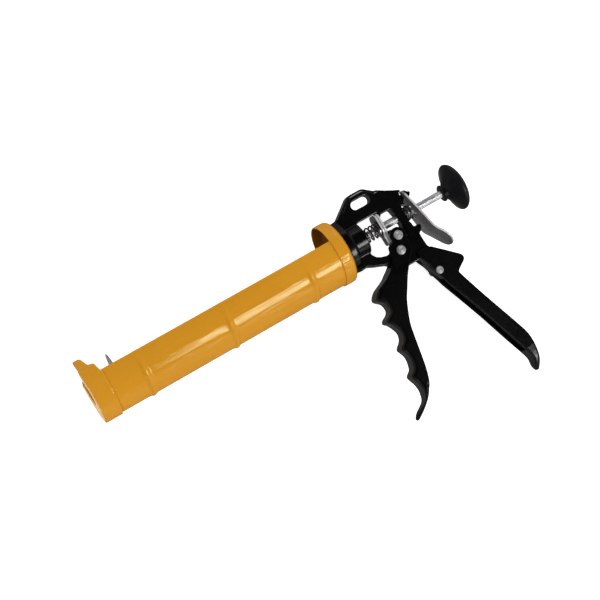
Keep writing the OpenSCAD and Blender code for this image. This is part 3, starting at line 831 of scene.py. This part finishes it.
def lever():
    # front face of the bent plate as a curve; the plate is grown to its rear
    c = np.array(run([(x, y) for x, y in LEVER_MID], 12))
    seg = np.linalg.norm(np.diff(c, axis=0), axis=1)
    s = np.concatenate([[0], np.cumsum(seg)])
    tan = np.gradient(c, axis=0)
    tan /= np.linalg.norm(tan, axis=1)[:, None]
    nor = np.stack([-tan[:, 1], tan[:, 0]], 1)      # towards the rear
    L = s[-1]
    y_of_s = c[:, 1]
    s_of_y = lambda y: np.interp(-y, -y_of_s, s)
    out = []
    for y, w in [(18.2, 7.4), (17.4, 9.4), (15.5, 11.2), (6, 12.9), (-10, 15.1), (-18, 15.8), (-23, 16.3), (-27, 16.4),
                 (-31, 16.0), (-33.5, 15.0), (-35.8, 13.4), (-37.6, 11.3), (-39.0, 8.8), (-40, 6.0), (-40.6, 3.2), (-40.75, 0.01)]:
        out.append((float(s_of_y(y)), w))
    top = [(a, b) for a, b in out]
    ring = top + [(a, -b) for a, b in top[::-1]]
    s0, s_hole = s_of_y(10.6), float(s_of_y(0.0))

    def fn(x, y, z):
        d = poly_sdf(ring, x[:, :, 0], y[:, :, 0])
        hole = np.hypot((x[:, :, 0] - s_hole) * 0.965, y[:, :, 0]) - 4.35
        slot = np.maximum(np.abs(y[:, :, 0]) - 3.1, x[:, :, 0] - s0)
        d = smax(smax(d, -hole, 0.25), -slot, 0.6)
        zz = z - 1.0
        return prism(d[:, :, None], zz, 1.0, 0.75)

    def place(v):
        i = np.clip(v[:, 0], -1, L + 1)
        px, py = np.interp(i, s, c[:, 0]), np.interp(i, s, c[:, 1])
        nx, ny = np.interp(i, s, nor[:, 0]), np.interp(i, s, nor[:, 1])
        ex = i - np.clip(i, 0, L)
        tx, ty = np.interp(i, s, tan[:, 0]), np.interp(i, s, tan[:, 1])
        return np.stack([px + nx * v[:, 2] + tx * ex, py + ny * v[:, 2] + ty * ex, v[:, 1]], 1)

    ob = sdf_object("thumb_lever", fn, (0, -17.8, 0), (L, 17.8, 2.0), 0.3, LEVER, 3, place)
    ob.data.materials.append(SHEARED_EDGE_AND_HIGHLIGHT)
    # edge faces turned towards +z below the top take the lighter edge steel: painted highlight on the lit side; the far
    # edge keeps the lever steel
    for p in ob.data.polygons:
        i = np.interp(-p.center.y / MM, -c[:, 1], s)
        away = abs(p.normal.x * np.interp(i, s, nor[:, 0]) + p.normal.y * np.interp(i, s, nor[:, 1]))
        if away < 0.8 and p.normal.z > 0.4 and p.center.y < 15 * MM and math.hypot(p.center.y, p.center.z) > 6.5 * MM:
            p.material_index = 1
    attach(ob, "release")
    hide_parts("release_lever")
    return ob


def coil(name, x0, x1, r0, r1, w, turns, start, body, node):
    n = int(turns * 40)
    pts = []
    d = 0.75 / turns
    for i in range(n + 1):
        s = i / n
        u = 0.10 * s / d if s < d else (0.90 + 0.10 * (s - 1 + d) / d if s > 1 - d else 0.10 + 0.80 * (s - d) / (1 - 2 * d))
        a = math.radians(start + 360 * turns * s)
        r = r0 + (r1 - r0) * s
        pts.append((x0 + w / 2 + (x1 - x0 - w) * u, r * math.cos(a), r * math.sin(a)))
    ob = tube(name, pts, w / 2, WIRE, 12)
    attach(ob, body)
    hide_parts(node)
    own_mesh(ob)
    return ob


def rod():
    # hexagon with worn corners, its front end turned down and threaded
    af = 6.35 / 2
    sec = []
    for i in range(6):
        a = math.radians(60 * i)
        for k in (-1, -0.35, 0.35, 1):
            b = a + math.radians(4.2 * k)
            r = af / math.cos(math.radians(30)) * (1 - 0.028 * (1 - abs(k) * 0.75))
            if abs(k) == 1:
                r = af / math.cos(math.radians(30 - 4.2))
            sec.append((r * math.cos(b), r * math.sin(b)))
    sec = [(y * math.cos(ROLL) - z * math.sin(ROLL), y * math.sin(ROLL) + z * math.cos(ROLL)) for y, z in sec]
    n = len(sec)
    verts, faces = [], []
    xs = [PISTON_X + 2.6, PISTON_X + 2.9] + [30 + 15 * i for i in range(21)] + [344.9]
    for x in xs:
        k = 0.93 if x == xs[0] else 1.0
        verts += [(x, y * k, z * k) for y, z in sec]
    for i in range(len(xs) - 1):
        for k in range(n):
            l = (k + 1) % n
            faces.append((i * n + k, i * n + l, (i + 1) * n + l, (i + 1) * n + k))
    faces.append(tuple(range(n))[::-1])
    faces.append(tuple((len(xs) - 1) * n + k for k in range(n)))
    base = len(verts)
    prof = [(PISTON_X - 3.6, 0.001), (PISTON_X - 3.6, 2.3), (PISTON_X - 3.2, 2.85)]
    x = PISTON_X - 3.2
    while x < PISTON_X + 2.4:
        prof += [(x + 0.2, 2.95), (x + 0.5, 2.6)]
        x += 0.6
    prof += [(PISTON_X + 3, 2.9), (PISTON_X + 3, 0.001)]
    v2, f2 = lathe(prof, 32, closed=False)
    verts += v2
    faces += [tuple(base + i for i in f) for f in f2]
    ob = mesh_object("hex_rod", verts, faces, ROD, angle=12)
    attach(ob, "rod")
    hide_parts("push_rod")
    return ob


def knob():
    pts = [(332.2, 3.7), (332.2, 5.4), (332.35, 6.3), (332.8, 7.0), (333.5, 7.3), (334.2, 7.05), (334.8, 6.6), (335.3, 6.45), (336.0, 6.7),
           (337.0, 7.7), (338.6, 9.8), (340.0, 12.1), (341.2, 14.4), (342.2, 16.6), (343, 18.6), (343.5, 19.8), (344.0, 20.4), (344.7, 20.75),
           (345.4, 20.8), (346.2, 20.6), (347.0, 20.1), (348, 19.2), (349.4, 17.0), (350.6, 13.8), (351.5, 10.2), (352.1, 6.2), (352.4, 3.0), (352.5, 0.0)]
    pts = run(pts, 3)
    prof = [(max(332.2, x), max(r, 0.0)) for x, r in pts] + [(345.05, 0.0), (345.05, 3.7)]
    ob = turned("end_knob", prof, PLASTIC, 112, 45)
    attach(ob, "rod")
    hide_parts("rear_knob")
    return ob


def piston():
    x = PISTON_X
    prof = [(x, 3), (x, 9.5), (x + 0.08, 10.4), (x + 0.4, 11.6), (x + 0.5, 12.4), (x + 0.5, 15), (x + 0.42, 17), (x + 0.5, PISTON_R - 0.4), (x + 0.62, PISTON_R - 0.08),
            (x + 0.85, PISTON_R), (x + 1.08, PISTON_R - 0.08), (x + 1.2, PISTON_R - 0.4), (x + 1.12, 17), (x + 1.2, 15), (x + 1.2, 12.2), (x + 1.1, 11.4), (x + 0.8, 10.2), (x + 0.8, 3)]
    ob = turned("piston_plate", prof, ZINC, 96, 40)
    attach(ob, "rod"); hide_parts("piston_disc")
    prof = [(x + 0.8, 3), (x + 0.8, 9.3), (x + 1.0, 9.55), (x + 1.5, 9.5), (x + 2.1, 9.1), (x + 2.4, 8.6), (x + 2.4, 3)]
    ob = turned("piston_washer", prof, ZINC, 64, 40)
    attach(ob, "rod"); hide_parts("piston_backing")

    def fn(gx, gy, gz):
        hexa = [(5.5 * math.cos(math.radians(60 * i + 10)), 5.5 * math.sin(math.radians(60 * i + 10))) for i in range(6)]
        d = poly_sdf(hexa, gy[0], gz[0])[None] + 0 * gx
        r = np.hypot(gy, gz)
        f = np.maximum(d, np.abs(gx - (x - 1.6)) - 1.6)
        f = smax(f, r - 5.05 - (gx - (x - 3.2)) * 1.5, 0.2)
        return smax(f, 3.0 - r, 0.2)
    ob = sdf_object("piston_locknut", fn, (x - 3.3, -5.6, -5.6), (x + 0.1, 5.6, 5.6), 0.18, STEEL, 2)
    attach(ob, "rod"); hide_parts("piston_nut")


def seat():
    prof = [(267.7, 4.0), (267.7, 6.7), (267.8, 6.86), (268.1, 6.9), (268.4, 6.86), (268.5, 6.7), (268.5, 4.0), (268.35, 3.9), (267.85, 3.9)]
    ob = turned("spring_washer", prof, STEEL, 64, 40)
    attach(ob, "drive"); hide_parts("spring_seat")


trough()
collar()
cap()
frame_casting()
handle()
trigger()
rivet("pivot_rivet", PIVOT, 2.5, 4.05, 9.5, 1.55, "frame", "trigger_pivot_rivet")
rivet("drive_rivet", DRIVE, 2.5, 4.05, 9.4, 1.55, "trigger", "drive_pin_rivet")
rivet("horn_rivet", HORN, 2.0, 3.3, 9.5, 1.35, "frame", "handle_rivet")
plate("grip_plate_a", 268.6, 2.1, "drive_plate_front")
plate("grip_plate_b", 270.8, 2.1, "drive_plate_rear")
lever()
coil("main_spring", 253.5, 267.7, 5.7, 5.7, 1.4, 4.25, 40, "frame", "return_spring")
coil("lever_spring", 294.6, 300.9, 6.0, 5.4, 1.3, 2.75, 100, "frame", "brake_spring")
rod()
knob()
piston()
seat()

for n, m in (("retaining_ring", STEEL), ("handle_pin", CAST), ("drive_roller", STEEL)):
    ob = nodes[n]
    if not ob.material_slots:
        ob.data.materials.append(m)
    for s in ob.material_slots:
        s.link = "OBJECT"
        s.material = m


# -------------------------------------------------------------------- stage
def floor_material():
    k = Mat("pale_floor", 0.9, spec=0.1)
    n = k.noise(3, 2, 0.5)
    k.color(k.ramp(n, [(0.3, (0.80, 0.80, 0.80, 1)), (0.7, (0.82, 0.82, 0.82, 1))]))
    k.b.inputs["Emission Color"].default_value = (1, 1, 1, 1)
    k.b.inputs["Emission Strength"].default_value = 0.85
    return k.m


bm = bmesh.new()
bmesh.ops.create_grid(bm, x_segments=8, y_segments=8, size=9)
me = bpy.data.meshes.new("floor")
bm.to_mesh(me)
bm.free()
floor = bpy.data.objects.new("floor", me)
floor.location = (0.18, -0.05, cad_box[0][2] - 0.0005)
scene.collection.objects.link(floor)
me.materials.append(floor_material())
floor.visible_glossy = False
floor.visible_diffuse = True


def area(name, direction, dist, size, power, color=(1, 1, 1), target=(0.2, -0.03, 0.0)):
    d = Vector(direction).normalized()
    la = bpy.data.lights.new(name, "AREA")
    la.shape = "RECTANGLE"
    la.size, la.size_y = size
    la.energy = power
    la.color = color
    ob = bpy.data.objects.new(name, la)
    ob.location = Vector(target) + d * dist
    ob.rotation_mode = "QUATERNION"
    ob.rotation_quaternion = (-d).to_track_quat("-Z", "Y")
    scene.collection.objects.link(ob)
    return ob


def radiance_power(radiance, size):
    return radiance * math.pi * size[0] * size[1]


area("key_softbox", (0.30, -0.56, 0.77), 2.2, (0.95, 0.62), radiance_power(11.5, (0.95, 0.62)))
area("strip_low", (0.30, -0.88, 0.37), 2.4, (1.2, 0.10), radiance_power(5.0, (1.2, 0.10)))
area("back_edge", (0.42, 0.85, 0.44), 2.4, (0.5, 0.25), radiance_power(2.5, (0.5, 0.25)))
area("front_low", (-0.72, -0.60, 0.35), 2.2, (0.3, 0.2), radiance_power(6.0, (0.3, 0.2)))
fill = area("overhead_fill", (0.0, 0.34, 0.94), 2.4, (2.6, 2.6), radiance_power(1.8, (2.6, 2.6)))
fill.visible_glossy = False

# a dim light tent: brightest near the horizon, dark overhead round the camera
w = bpy.data.worlds.new("light_tent")
scene.world = w
w.use_nodes = True
nt = w.node_tree
tc = nt.nodes.new("ShaderNodeTexCoord")
sx = nt.nodes.new("ShaderNodeSeparateXYZ")
rp = nt.nodes.new("ShaderNodeValToRGB")
nt.links.new(tc.outputs["Generated"], sx.inputs["Vector"])
mr = nt.nodes.new("ShaderNodeMapRange")
mr.inputs["From Min"].default_value = -1
nt.links.new(sx.outputs["Z"], mr.inputs["Value"])
nt.links.new(mr.outputs["Result"], rp.inputs["Fac"])
TENT = [(0.0, (1.1, 0.84, 0.5)), (0.0025, (1.05, 0.8, 0.48)), (0.0065, 0.16), (0.10, 0.10), (0.30, 0.16), (0.44, 0.30), (0.52, 0.44), (0.60, 0.44), (0.72, 0.20), (0.82, 0.05), (1.0, 0.04)]
el = rp.color_ramp.elements
while len(el) < len(TENT):
    el.new(0.5)
for e, (p, v) in zip(el, TENT):
    e.position, e.color = p, (v, v, v, 1) if isinstance(v, float) else (*v, 1)
nt.links.new(rp.outputs["Color"], nt.nodes["Background"].inputs["Color"])
nt.nodes["Background"].inputs["Strength"].default_value = 1.0

# ------------------------------------------------------------------- camera
C = Vector((-0.071933, 0.005603, 1.037770))
zc = Vector((0.237512, -0.022662, -0.971120)).normalized()
up = Vector((0, 1, 0))
xr = zc.cross(up).normalized()
yd = zc.cross(xr)
roll = 0.5123
right = math.cos(roll) * xr + math.sin(roll) * yd
down = -math.sin(roll) * xr + math.cos(roll) * yd
cam = bpy.data.cameras.new("camera")
cam.sensor_width = 36
cam.lens = 1319.78 / 600 * 36
cam.clip_start, cam.clip_end = 0.05, 50
co = bpy.data.objects.new("camera", cam)
scene.collection.objects.link(co)
co.matrix_world = Matrix(((right.x, -down.x, -zc.x, C.x), (right.y, -down.y, -zc.y, C.y),
                          (right.z, -down.z, -zc.z, C.z), (0, 0, 0, 1)))
scene.camera = co
scene.view_settings.view_transform = "Standard"
scene.view_settings.look = "None"
